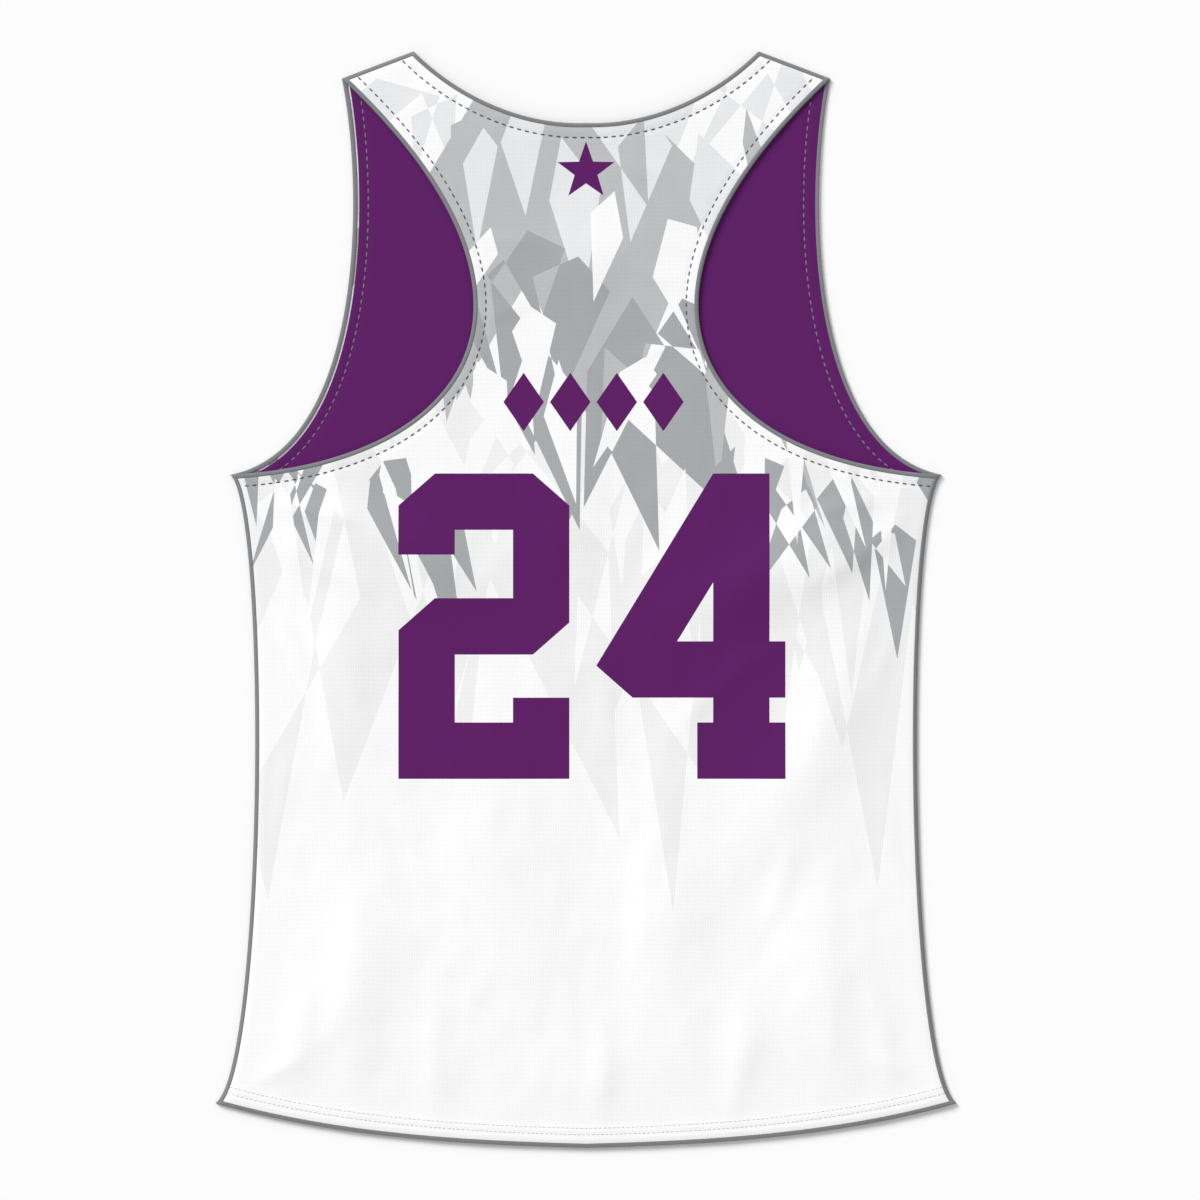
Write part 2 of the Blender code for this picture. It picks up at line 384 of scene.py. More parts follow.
def puckers(outline, rows, places, height):
    """The gathers that topstitching pulls into the cloth beside it."""
    total = np.zeros(len(places))
    for row in rows:
        distance, nearest = outline.nearest(places, (row.edge,))
        along = PUCKERS_A_METRE * outline.along[nearest]
        wave = np.array([noise.noise((count, *PUCKER_SPOT)) for count in along])
        total += height * wave * bell(distance - row.depth, PUCKER_REACH)
    return total


def edge_relief(outline, rows, places):
    """Turned and stitched edges: a full strip, and a groove under the topstitching."""
    total = np.zeros(len(places))
    for row in rows:
        distance, _ = outline.nearest(places, (row.edge,))
        strip = ease(distance / STRIP_RISE) * ease((row.depth - distance) / STRIP_END)
        groove = bell(distance - row.depth, STRIP_GROOVE_WIDTH)
        total += STRIP_HEIGHT * strip - STRIP_GROOVE * groove
    return total


def hem_profile(distance):
    """A hem turned up and sewn with two rows."""
    height = HEM_HEIGHT * ease((HEM_DEPTH - distance) / HEM_END)
    for row in HEM_ROWS:
        height -= HEM_GROOVE * bell(distance - row.depth, HEM_GROOVE_WIDTH)
    return height


def pressed(outline, places):
    """The share of the layers' height that the seams and the hem leave at each place."""
    distance, _ = outline.nearest(places, PRESSED_EDGES)
    return PRESSED + (1 - PRESSED) * ease(distance / PRESS_REACH)


def back_heights(places, layer):
    """The upper face of a back panel."""
    seam, _ = BACK.nearest(places, SEAMS)
    free, _ = BACK.nearest(places, FREE_EDGES)
    at_edge = EDGE_FOLD + (1 - EDGE_FOLD) * ease(free / EDGE_FADE)
    at_seam = ease((seam - FOLD_INSET) / SEAM_FADE)
    near_seam = ease((seam - TURN) / CREASE_FADE)
    waves = fold_heights(places, FOLDS) + ripple_heights(places, BACK_WAVES)
    small = fold_heights(places, CREASES) + ripple_heights(places, BACK_RIPPLES)
    height = panel_top(layer) * pressed(BACK, places)
    height += waves * at_seam * at_edge + small * near_seam * at_edge
    height += puckers(BACK, BACK_ROWS, places, BACK_PUCKER) * ease(seam / (2 * TURN))
    if layer == BACK_OUTER:
        hem, _ = BACK.nearest(places, ("hem",))
        relief = edge_relief(BACK, BACK_ROWS, places) + hem_profile(hem)
        relief -= HEM_DROOP * ease((DROOP_RUN - hem) / DROOP_RUN)
        height += relief * ease(seam / TURN)
        low = panel_top(FRONT_INNER) * PRESSED
        height = low + (height - low) * rolled(seam)
    return height


def front_heights(places, layer):
    """The upper face of a front panel, which lies flat but for faint waves."""
    stitched, _ = FRONT.nearest(places, ("armhole", "neck"))
    share = pressed(FRONT, places)
    height = panel_top(layer) * share
    room = (WALL + GAP) * share - CLOTH
    if layer == FRONT_OUTER:
        # Where the two layers are sewn edge to edge, the outer one comes up to the lining.
        height += (room - LIFT_CLEAR) * ease((LIFT_END - stitched) / LIFT_RUN)
    else:
        slack = SLACK + ripple_heights(places, LINING_RIPPLES)
        height += room * slack * ease(stitched / SLACK_FADE)
        height += edge_relief(FRONT, FRONT_ROWS, places)
        height += puckers(FRONT, FRONT_ROWS, places, FRONT_PUCKER)
        height = np.minimum(height, back_heights(places, BACK_INNER) - CLOTH - LAYER_CLEAR)
    return height


# ---- The print ----

Shape = namedtuple("Shape", "colour loops")


def move(points, x, y, degrees=0.0):
    """Turn some points about the origin, then move them; y counts from the hem."""
    turn = math.radians(degrees)
    points = np.array(points, float)
    turned = np.c_[points[:, 0] * math.cos(turn) - points[:, 1] * math.sin(turn),
                   points[:, 0] * math.sin(turn) + points[:, 1] * math.cos(turn)]
    return turned + (x, y - CENTRE_Y)


# Block numbers.
NUMBER_HEIGHT = 203.2 * MM
TWO_WIDTH = 113.7 * MM
FOUR_WIDTH = 125.9 * MM
STROKE = 37.5 * MM
CUT_X, CUT_Y = 24.2 * MM, 21.3 * MM
TIP = 16.5 * MM           # how far a stroke's end turns up or down past the bar beside it
OVERHANG = 10.6 * MM      # how far the 4's bar and foot reach past its stem
WAIST = 82.7 * MM         # the lower side of the 2's middle stroke
EYE_TOP, EYE_WIDTH = 130.7 * MM, 24.0 * MM
TWO_LEFT, FOUR_LEFT = -124.8 * MM, 6.8 * MM
NUMBER_BASE = 245.7 * MM  # the numbers' foot, up from the hem


def two_loop():
    """The outline of a block 2, from its lower left corner."""
    w, h, s = TWO_WIDTH, NUMBER_HEIGHT, STROKE
    return [(0, 0), (w, 0), (w, s + TIP), (w - s, s + TIP), (w - s, s), (s, s), (s, WAIST),
            (w - CUT_X, WAIST), (w, WAIST + CUT_Y), (w, h - CUT_Y), (w - CUT_X, h), (CUT_X, h),
            (0, h - CUT_Y), (0, h - s - TIP), (s, h - s - TIP), (s, h - s), (w - s, h - s),
            (w - s, WAIST + s), (CUT_X, WAIST + s), (0, WAIST + s - CUT_Y)]


def four_loops():
    """The outline of a block 4 and of its eye, from its lower left corner."""
    w, h, s = FOUR_WIDTH, NUMBER_HEIGHT, STROKE
    stem, bar = w - OVERHANG - s, s + TIP
    foot = stem - OVERHANG
    body = [(foot, 0), (w, 0), (w, s), (stem + s, s), (stem + s, bar), (w, bar), (w, bar + s),
            (stem + s, bar + s), (stem + s, h), (stem, h), (0, bar + CUT_Y), (CUT_X, bar),
            (stem, bar), (stem, s), (foot, s)]
    eye = [(stem, bar + s), (stem, EYE_TOP), (stem - EYE_WIDTH, bar + s)]
    return [body, eye]


SIDE_CORNERS = (0.08, 0.4)  # how far down a shard its side corners lie, as a share of its length
POINT_ASIDE = (-0.4, 0.4)   # how far aside its point lies, as a share of its width
SCATTER = (0.15, 0.85)      # where it hangs in its share of the row


def shard(rng, row):
    """A long four-cornered shard that hangs from the origin, its sides and point uneven."""
    width, length = rng.uniform(*row.widths), rng.uniform(*row.lengths)
    left, right = rng.uniform(*SIDE_CORNERS), rng.uniform(*SIDE_CORNERS)
    aside = rng.uniform(*POINT_ASIDE)
    return [(0, 0), (-width / 2, -length * left), (width * aside, -length), (width / 2, -length * right)]


# Rows of shards, later ones over earlier ones: how many, the colour, how high their tops lie, how
# far out from the centre line they start and reach, their lengths and widths, their lean in
# degrees, and whether two that cross leave the ground bare.
Shards = namedtuple("Shards", "count colour tops inner outer lengths widths lean bare")

SHARD_ROWS = [Shards(*row) for row in (
    (14, PALE_GREY, (0.45, 0.53), 0.000, 0.235, (0.20, 0.32), (0.060, 0.110), 12, True),
    (12, PALE_GREY, (0.44, 0.49), 0.020, 0.235, (0.10, 0.18), (0.030, 0.060), 18, True),
    (8, LIGHT_GREY, (0.70, 0.76), 0.040, 0.155, (0.12, 0.20), (0.050, 0.080), 16, True),
    (5, MID_GREY, (0.68, 0.72), 0.000, 0.070, (0.17, 0.26), (0.070, 0.110), 10, False),
    (6, LIGHT_GREY, (0.67, 0.72), 0.000, 0.080, (0.06, 0.13), (0.018, 0.040), 18, True),
    (9, DARK_GREY, (0.53, 0.62), 0.000, 0.085, (0.09, 0.17), (0.040, 0.070), 24, True),
    (12, MID_GREY, (0.52, 0.70), 0.085, 0.140, (0.06, 0.13), (0.012, 0.030), 30, True),
    (18, DARK_GREY, (0.41, 0.49), 0.090, 0.235, (0.04, 0.10), (0.012, 0.030), 30, True),
    (8, WHITE, (0.52, 0.64), 0.000, 0.090, (0.05, 0.10), (0.020, 0.036), 38, True),
    (10, WHITE, (0.44, 0.50), 0.050, 0.220, (0.06, 0.12), (0.008, 0.018), 24, True),
)]
SHARD_SEED = 18


def shards():
    """A generic print of angular shards: close at the neck, thinning to long pale points."""
    rng = random.Random(SHARD_SEED)
    found = []
    for row in SHARD_ROWS:
        loops = []
        for k in range(row.count):
            side = 1 if k % 2 else -1
            share = (k // 2 + rng.uniform(*SCATTER)) / math.ceil(row.count / 2)
            across = side * (row.inner + share * (row.outer - row.inner))
            top = rng.uniform(*row.tops)
            piece = shard(rng, row)
            loops.append(move(piece, across, top, rng.uniform(-row.lean, row.lean)))
        groups = [loops] if row.bare else [[loop] for loop in loops]
        found += [Shape(row.colour, group) for group in groups]
    return found


# Generic marks: a row of lozenges over the numbers and a star under the neck.
LOZENGE_COUNT, LOZENGE_PITCH = 4, 31 * MM
LOZENGE_WIDTH, LOZENGE_HEIGHT = 27 * MM, 39 * MM
LOZENGE_ROW = (5 * MM, 496.5 * MM)
STAR_CENTRE = (0.0, 650 * MM)
STAR_POINTS, STAR_RADIUS = 5, 20 * MM
STAR_WAIST = 0.40  # its inner corners, as a share of its radius


def marks():
    """The purple print: the numbers, the lozenges and the star."""
    found = [[move(two_loop(), TWO_LEFT, NUMBER_BASE)],
             [move(loop, FOUR_LEFT, NUMBER_BASE) for loop in four_loops()]]
    w, h = LOZENGE_WIDTH / 2, LOZENGE_HEIGHT / 2
    for k in range(LOZENGE_COUNT):
        x = LOZENGE_ROW[0] + (k - (LOZENGE_COUNT - 1) / 2) * LOZENGE_PITCH
        found.append([move([(0, -h), (w, 0), (0, h), (-w, 0)], x, LOZENGE_ROW[1])])
    star = []
    for k in range(2 * STAR_POINTS):
        radius = STAR_WAIST * STAR_RADIUS if k % 2 else STAR_RADIUS
        turn = k * math.pi / STAR_POINTS
        star.append((radius * math.sin(turn), radius * math.cos(turn)))
    found.append([move(star, *STAR_CENTRE)])
    return [Shape(PURPLE, loops) for loops in found]


# ---- Cutting cloth ----

SPECK = 14.0 * MM * MM  # patches of the print smaller than this are left out
WHOLE_HULL = 0          # tells the triangulation to fill all that the points span
EVEN_SHARE = 0.5        # of the bake's map, for each face of a plain cloth
UPPER_SHARE = 0.68      # and for an upper face that alone is printed
MAP_MARGIN = 0.004
MAP_RIM = 0.006         # height of the map's strip for the rim
RIM_FILL = 0.9          # share of its place there that each wall takes up


def subdivided(loop, step):
    """A closed loop with points at most a step apart."""
    found = []
    for a, b in zip(loop, np.roll(loop, -1, axis=0)):
        count = max(1, math.ceil(np.linalg.norm(b - a) / step))
        found += [a + (b - a) * k / count for k in range(count)]
    return np.array(found)


def away_from(places, others, clear):
    """The places that keep clear of all the others."""
    if not len(others):
        return places
    tree = search_tree(others, range(len(others)))
    return places[[tree.find((x, y, 0.0))[2] > clear for x, y in places]]


def grid(outline, step):
    """An even grid of triangles' corners well inside an outline."""
    rise = step * math.sqrt(3) / 2
    rows = []
    low, high = outline.points.min(axis=0), outline.points.max(axis=0)
    for k, y in enumerate(np.arange(low[1], high[1], rise)):
        x = np.arange(low[0], high[0], step) + (k % 2) * step / 2
        rows.append(np.c_[x, np.full(len(x), y)])
    places = np.concatenate(rows)
    places = places[outline.holds(places)]
    distance, _ = outline.nearest(places)
    return places[distance > GRID_START]


def cut(outline, shapes, step):
    """Triangles that fill an outline, with edges along every border of its print."""
    loops = [outline.points[::round(EDGE_STEP / SAMPLE_STEP)]]
    loops += [subdivided(loop, EDGE_STEP) for shape in shapes for loop in shape.loops]
    limits, first = [], 0
    for loop in loops:
        limits += [(first + i, first + (i + 1) % len(loop)) for i in range(len(loop))]
        first += len(loop)
    printed = np.concatenate(loops[1:]) if shapes else []
    rings = [outline.ring(depth, EDGE_STEP) for depth in RING_DEPTHS]
    free = [away_from(run, printed, PRINT_CLEAR) for run in rings + [grid(outline, step)]]
    points = [Vector(p) for p in np.concatenate(loops + free)]
    flat, _, faces, *_ = delaunay_2d_cdt(points, limits, [], WHOLE_HULL, MERGED)
    flat, faces = np.array([tuple(p) for p in flat]), np.array(faces)
    faces = faces[inside(flat[faces].mean(axis=1), loops[0])]
    used, faces = np.unique(faces, return_inverse=True)
    return flat[used], faces.reshape(-1, 3)


def rim(faces):
    """The directed edges that only one triangle has."""
    edges = np.concatenate([faces[:, (0, 1)], faces[:, (1, 2)], faces[:, (2, 0)]])
    known = set(map(tuple, edges))
    return np.array([edge for edge in known if edge[::-1] not in known])


def colours_of(places, shapes, ground):
    """The print's colour at each place, later shapes over earlier ones."""
    found = np.tile(np.array(ground), (len(places), 1))
    for shape in shapes:
        hit = np.zeros(len(places), bool)
        for loop in shape.loops:
            hit ^= inside(places, loop)
        found[hit] = shape.colour
    return found


def neighbours(faces):
    """The triangles that share an edge with each triangle."""
    owners, beside = {}, [[] for _ in faces]
    for k, (a, b, c) in enumerate(faces.tolist()):
        owners[a, b] = owners[b, c] = owners[c, a] = k
    for (start, end), k in owners.items():
        if (end, start) in owners:
            beside[k].append(owners[end, start])
    return beside


def areas_of(flat, faces):
    """Each triangle's area."""
    (ax, ay), (bx, by) = ((flat[faces[:, k]] - flat[faces[:, 0]]).T for k in (1, 2))
    return 0.5 * np.abs(ax * by - ay * bx)


def patch_from(first, shades, beside, seen):
    """The triangles of one shade that join on to the first, and the shades around them."""
    seen[first] = True
    patch, around = [first], []
    for k in patch:
        for other in beside[k]:
            if shades[other] != shades[first]:
                around.append(shades[other])
            elif not seen[other]:
                seen[other] = True
                patch.append(other)
    return patch, around


def without_specks(colours, flat, faces):
    """The print's colours, with patches too small to show given a pale or grey colour beside them."""
    beside, areas = neighbours(faces), areas_of(flat, faces)
    palette, shades = np.unique(colours, axis=0, return_inverse=True)
    shades = shades.reshape(-1)
    purple = [k for k, colour in enumerate(palette) if tuple(colour) == PURPLE]
    seen = np.zeros(len(faces), bool)
    for first in range(len(faces)):
        if seen[first]:
            continue
        patch, around = patch_from(first, shades, beside, seen)
        around = [shade for shade in around if shade not in purple]
        if around and areas[patch].sum() < SPECK:
            shades[patch] = np.bincount(around).argmax()
    return palette[shades]


def lay_out(mesh, flat, faces, side, upper):
    """A map for baking: the upper face, the lower face beside it, and the rim in a strip below."""
    low, high = flat.min(axis=0), flat.max(axis=0)
    spread = (flat - low) / (high - low)
    spread[:, 1] = MAP_RIM + MAP_MARGIN + spread[:, 1] * (1 - MAP_RIM - 2 * MAP_MARGIN)
    above = np.c_[MAP_MARGIN + spread[:, 0] * (upper - 2 * MAP_MARGIN), spread[:, 1]]
    below = np.c_[upper + MAP_MARGIN + spread[:, 0] * (1 - upper - 2 * MAP_MARGIN), spread[:, 1]]
    place = np.arange(len(side)) / len(side)
    width = RIM_FILL / len(side)
    strip = [np.c_[place + dx * width, np.full(len(side), dy * MAP_RIM)]
             for dx, dy in ((0, 1), (1, 1), (1, 0), (0, 0))]
    corners = np.concatenate([above[faces].reshape(-1, 2), below[faces[:, ::-1]].reshape(-1, 2),
                              np.stack(strip, axis=1).reshape(-1, 2)])
    mesh.uv_layers.new(name="OFBake").data.foreach_set("uv", corners.astype(np.float32).ravel())


def linked(name, data):
    """A new object in the scene."""
    piece = bpy.data.objects.new(name, data)
    bpy.context.scene.collection.objects.link(piece)
    return piece


def smooth(name, verts, faces):
    """A new smooth piece from points and faces."""
    mesh = bpy.data.meshes.new(name)
    mesh.from_pydata(verts, [], faces)
    mesh.shade_smooth()
    return linked(name, mesh)


# One panel of the cloth shown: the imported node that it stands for, its outline, the function that
# gives its heights, its layer, its print, the colours above and below, its grid's step, how low it
# may reach and its material slot. With no colour below, the print shows there too.
Panel = namedtuple("Panel", "node outline heights layer shapes ground under step floor slot")


def paint(mesh, panel, flat, faces, walls):
    """The panel's colours on its upper face, its lower face and the walls of its rim."""
    middles = flat[faces].mean(axis=1)
    upper = without_specks(colours_of(middles, panel.shapes, panel.ground), flat, faces)
    lower = upper if panel.under is None else np.tile(panel.under, (len(faces), 1))
    around = np.tile(panel.ground, (walls, 1))
    corners = np.concatenate([np.repeat(upper, 3, axis=0), np.repeat(lower, 3, axis=0),
                              np.repeat(around, 4, axis=0)])
    layer = mesh.color_attributes.new("print", "FLOAT_COLOR", "CORNER")
    layer.data.foreach_set("color", corners.astype(np.float32).ravel())


def cloth(panel):
    """A thin closed shell of cloth in its colours, laid at its own heights."""
    flat, faces = cut(panel.outline, panel.shapes, panel.step)
    top = panel.heights(flat, panel.layer)
    low = np.maximum(top - CLOTH, panel.floor)
    count = len(flat)
    edge = rim(faces)
    side = np.c_[edge[:, 1], edge[:, 0], edge[:, 0] + count, edge[:, 1] + count]
    verts = np.concatenate([np.c_[flat, top], np.c_[flat, low]])
    polys = [tuple(f) for f in (*faces, *(faces[:, ::-1] + count), *side)]
    piece = smooth(panel.node + "_cloth", verts.tolist(), polys)
    paint(piece.data, panel, flat, faces, len(side))
    printed_above = panel.shapes and panel.under is not None
    lay_out(piece.data, flat, faces, side, UPPER_SHARE if printed_above else EVEN_SHARE)
    piece.data.set_sharp_from_angle(angle=math.radians(SHARP_ANGLE))
    return piece


# ---- Sewing ----

Stitch = namedtuple("Stitch", "length width pitch")

DASH = Stitch(3.2 * MM, 0.95 * MM, 5.3 * MM)
HEM_STITCH = Stitch(2.3 * MM, 0.55 * MM, 3.1 * MM)
STITCH_RISE = 0.35       # how far a stitch's thread stands up from its middle
STITCH_ARCH = 0.22       # and how much further at its crown, as shares of its width
STITCH_SUNK = 0.12 * MM  # stitches on the underside lie this deep in the cloth
RUN_ENDS = 2             # samples left off at a corner, which bends their direction
LINE_END = 1.8 * MM      # a line of stitches runs up to this distance from a seam
LINE_REACH = 3           # and is drawn on by this many times its depth before it is cut

# The overedge thread's band around an edge.
BAND_WIDTH = 2.7 * MM
BAND_STEP = 1.5 * MM
BAND_SIDES = 12
BAND_PROUD = 0.25 * MM  # how far it stands out past the cloth's edge
BAND_SQUARE = 0.42      # 1 makes the band's section an ellipse, less makes it squarer
BAND_LEAST = 0.1        # the narrowest share of its width at a corner
BAND_SHARES = np.linspace(0.2, 1.0, 9)  # and the others that are tried


def runs_of(outline, name):
    """The unbroken runs of samples on the edges of one name."""
    chosen = np.flatnonzero(outline.names == name)
    runs = np.split(chosen, np.flatnonzero(np.diff(chosen) > 1) + 1)
    if chosen[0] == 0 and chosen[-1] == len(outline.names) - 1:
        runs = [np.concatenate([runs[-1], runs[0]])] + runs[1:-1]
    return runs


def extended(line, reach):
    """A line of points, run on straight at both ends."""
    steps = np.arange(1, round(reach / SAMPLE_STEP))[:, None]
    before = line[0] + (line[0] - line[1]) * steps[::-1]
    after = line[-1] + (line[-1] - line[-2]) * steps
    return np.concatenate([before, line, after])


def line_beside(outline, row, run):
    """The line of a row of stitches along one run of its edge, up to the seams."""
    run = run[RUN_ENDS:-RUN_ENDS]
    line = outline.points[run] + outline.inward[run] * row.depth
    line = extended(line, LINE_REACH * row.depth)
    line = line[outline.holds(line)]
    own, _ = outline.nearest(line, (row.edge,))
    anywhere, _ = outline.nearest(line)
    return line[(own > RING_KEEP * row.depth) & (anywhere > LINE_END)]


def stitch_places(outline, rows, pitch):
    """Where stitches lie along some rows: each one's middle and direction."""
    found = []
    for line in [line_beside(outline, row, run) for row in rows for run in runs_of(outline, row.edge)]:
        steps = np.diff(line, axis=0)
        lengths = np.linalg.norm(steps, axis=1)
        reach = np.cumsum(lengths)
        for target in np.arange(pitch / 2, reach[-1], pitch):
            k = np.searchsorted(reach, target)
            found.append((line[k], steps[k] / lengths[k]))
    return found


# A stitch's rings: how far along it each lies, and its girth as a share of the thread's.
STITCH_RINGS = ((-0.5, 0.35), (-0.38, 0.85), (0.0, 1.0), (0.38, 0.85), (0.5, 0.35))
STITCH_SIDES = 8


def tube(rings, sides):
    """The faces of a closed tube: its two ends, then those between its rings."""
    count = rings * sides
    faces = [tuple(reversed(range(sides))), tuple(range(count - sides, count))]
    for first in range(0, count - sides, sides):
        for k in range(sides):
            a, b = first + k, first + (k + 1) % sides
            faces.append((a, b, b + sides, a + sides))
    return faces


def stitches(name, places, heights, kind, up=1):
    """Short rounded threads that lie on the cloth's upper face or, with up -1, under it."""
    middles, ahead = (np.array(part) for part in zip(*places))
    aside = left_of(ahead)
    turns = 2 * math.pi * np.arange(STITCH_SIDES) / STITCH_SIDES
    verts = []
    for along, girth in STITCH_RINGS:
        centres = middles + ahead * along * kind.length
        level = heights(centres)
        arch = STITCH_ARCH * kind.width * (1 - (2 * along) ** 2)
        for turn in turns:
            spots = centres + aside * 0.5 * kind.width * girth * math.cos(turn)
            rise = STITCH_RISE * kind.width * girth * math.sin(turn) + arch
            verts.append(np.c_[spots, level + up * rise])
    count = len(verts)
    verts = np.stack(verts, axis=1).reshape(-1, 3)
    faces = [tuple(first + corner for corner in face[::up])
             for first in range(0, len(verts), count) for face in tube(len(STITCH_RINGS), STITCH_SIDES)]
    return smooth(name, verts.tolist(), faces)


def squared(value):
    """A sine or cosine as a share from 0 to 1, drawn out so that a round section grows square."""
    return 0.5 + 0.5 * math.copysign(abs(value) ** BAND_SQUARE, value)


def paths_of(edges):
    """Each edge's name and its line of points, anticlockwise, the hem and the neck each in one."""
    found = []
    for name, edge in zip(EDGE_NAMES, edges):
        right = np.concatenate([evenly(edge, BAND_STEP), [edge.end]]) - (0, CENTRE_Y)
        left = right[::-1] * (-1, 1)
        joined = {"hem": [left[:-1], right], "neck": [right[:-1], left]}
        if name in joined:
            found.append((name, np.concatenate(joined[name])))
        else:
            found += [(name, right), (name, left)]
    return found


def band(outline, name, line, levels):
    """Thread wrapped round the cloth's rim along one edge: points, faces and the wrap's map."""
    ahead = np.gradient(line, axis=0)
    ahead /= np.linalg.norm(ahead, axis=1)[:, None]
    inward = left_of(ahead)
    reach = np.full(len(line), BAND_LEAST * BAND_WIDTH)
    for width in BAND_WIDTH * BAND_SHARES:
        # Towards a corner the band narrows, so that it stays on the cloth's finely read outline.
        reach[outline.holds(line + inward * width, every=4)] = width
    turns = 2 * math.pi * np.arange(BAND_SIDES) / BAND_SIDES
    over = np.array([squared(math.cos(turn)) for turn in turns])
    up = np.array([squared(math.sin(turn)) for turn in turns])
    across = over[None, :] * (reach + BAND_PROUD)[:, None] - BAND_PROUD
    flat = (line[:, None, :] + inward[:, None, :] * across[:, :, None]).reshape(-1, 2)
    low, high = levels(flat, name)
    verts = np.c_[flat, low + (high - low) * np.tile(up, len(line))]
    wrap = [(0, k) for k in reversed(range(BAND_SIDES))]
    wrap += [(len(line), k) for k in range(BAND_SIDES)]
    wrap += [(i + di, k + dk) for i in range(len(line) - 1) for k in range(BAND_SIDES)
             for di, dk in ((0, 0), (0, 1), (1, 1), (1, 0))]
    return verts, tube(len(line), BAND_SIDES), wrap


def border(name, bands):
    """Several bands joined into one piece."""
    verts, faces, wrap = [], [], []
    for points, rings, laid in bands:
        faces += [tuple(len(verts) + corner for corner in ring) for ring in rings]
        verts += points.tolist()
        wrap += laid
    piece = smooth(name, verts, faces)
    places = np.array(wrap) * (BAND_STEP, 1 / BAND_SIDES)
    piece.data.uv_layers.new(name="thread").data.foreach_set("uv", places.astype(np.float32).ravel())
    return piece


# ---- Materials ----

SHARED_FINISH = {"Sheen Roughness": 0.5, "Specular IOR Level": 0.06}
RELIEF = 0.25 * MM  # how deep a full bump is
PRINTED_FINISH, LINING_FINISH, THREAD_FINISH = (0.72, 0.02), (0.68, 0.02), (0.75, 0.1)

BLOTCHES = 55.0      # how often in a metre the cloth's shade strays
BLOTCH_DETAIL = 4.0
BLOTCH_SHADES = (0.975, 1.02)
KNIT_STRENGTH = 0.28
WALE = 1.10 * MM     # width of a column of knit stitches
COURSE = 0.86 * MM   # height of a row of them
LEAN = 1.6           # how steeply each stitch leans, which makes the V
ROW_SHARE = 0.4      # how much the rows stand out beside the columns
WANDER = 0.9 * MM    # how far the columns and rows stray from straight
WANDER_SCALE = 60.0  # and how often in a metre

# painted shade and highlight on the threads: shares of their colour, from the low to the high of their
# relief
THREAD_PAINTED_SHADING = (0.80, 1.10)
THREAD_STRENGTH = 0.6
PLY_STRAY = 1.5
PITCH, FINE_PITCH = 1.1 * MM, 0.8 * MM  # from one turn of a thread to the next


def set_inputs(node, constants):
    """Give some of a node's inputs their constants."""
    for name, value in constants.items():
        node.inputs[name].default_value = value


class Look:
    """A material in the making, with short ways to add and link its nodes."""

    def __init__(self, name, finish):
        self.material = bpy.data.materials.new(name)
        self.material.use_nodes = True
        self.tree = self.material.node_tree
        self.shader = self.tree.nodes["Principled BSDF"]
        roughness, sheen = finish
        set_inputs(self.shader, {"Roughness": roughness, "Sheen Weight": sheen, **SHARED_FINISH})

    def add(self, kind, inputs=None, **settings):
        """A new node's outputs, with each of its inputs a constant or another node's output."""
        node = self.tree.nodes.new("ShaderNode" + kind)
        for name, value in settings.items():
            setattr(node, name, value)
        for name, value in (inputs or {}).items():
            if isinstance(value, bpy.types.NodeSocket):
                self.tree.links.new(value, node.inputs[name])
            else:
                node.inputs[name].default_value = value
        return node.outputs

    def math(self, operation, *values):
        """The result of one Math node."""
        return self.add("Math", dict(enumerate(values)), operation=operation)[0]

    def dye(self, colour, value, shades):
        """Give the shader a colour that goes between two shades of itself with a value."""
        shade = self.add("MapRange", {"To Min": shades[0], "To Max": shades[1], "Value": value})
        tint = self.add("VectorMath", {0: colour, "Scale": shade["Result"]}, operation="SCALE")
        self.tree.links.new(tint["Vector"], self.shader.inputs["Base Color"])

    def raise_up(self, height, strength):
        """Give the shader a height as its relief."""
        bump = self.add("Bump", {"Strength": strength, "Distance": RELIEF, "Height": height})
        self.tree.links.new(bump["Normal"], self.shader.inputs["Normal"])


def knit(look):
    """A fine knit: columns of small V stitches, as a height."""
    where = look.add("TexCoord")["Object"]
    stray = look.add("TexNoise", {"Scale": WANDER_SCALE, "Vector": where})["Color"]
    moved = look.add("VectorMath", {0: stray, 1: (WANDER, WANDER, 0.0), 2: where},
                     operation="MULTIPLY_ADD")
    parts = look.add("SeparateXYZ", {0: moved["Vector"]})
    columns = look.math("MULTIPLY", parts["X"], math.pi / WALE)
    column = look.math("ABSOLUTE", look.math("SINE", columns))
    lean = look.math("MULTIPLY", column, LEAN)
    rows = look.math("MULTIPLY", parts["Y"], 2 * math.pi / COURSE)
    row = look.math("SINE", look.math("ADD", rows, lean))
    return look.math("ADD", column, look.math("MULTIPLY", row, ROW_SHARE))


def cloth_material(name, finish, colour=None):
    """Polyester knit, plain or in the print's colours, with a faint unevenness."""
    look = Look(name, finish)
    blotch = look.add("TexNoise", {"Scale": BLOTCHES, "Detail": BLOTCH_DETAIL})
    colour = colour[:3] if colour else look.add("VertexColor", layer_name="print")["Color"]
    look.dye(colour, blotch["Fac"], BLOTCH_SHADES)
    look.raise_up(knit(look), KNIT_STRENGTH)
    return look.material


def wound(look, pitch):
    """The turns of an overedge thread, from the band's own wrap, as a height."""
    wrap = look.add("UVMap", uv_map="thread")
    parts = look.add("SeparateXYZ", {0: wrap["UV"]})
    turn = look.math("MULTIPLY", parts["X"], math.pi / pitch)
    slant = look.math("MULTIPLY", parts["Y"], math.pi)
    return look.math("ABSOLUTE", look.math("SINE", look.math("ADD", turn, slant)))


def spun(look, pitch):
    """The plies of a single thread, as a height."""
    where = look.add("TexCoord")["Object"]
    wave = look.add("TexWave", {"Scale": 1 / pitch, "Distortion": PLY_STRAY, "Vector": where},
                    bands_direction="DIAGONAL")
    return wave["Fac"]


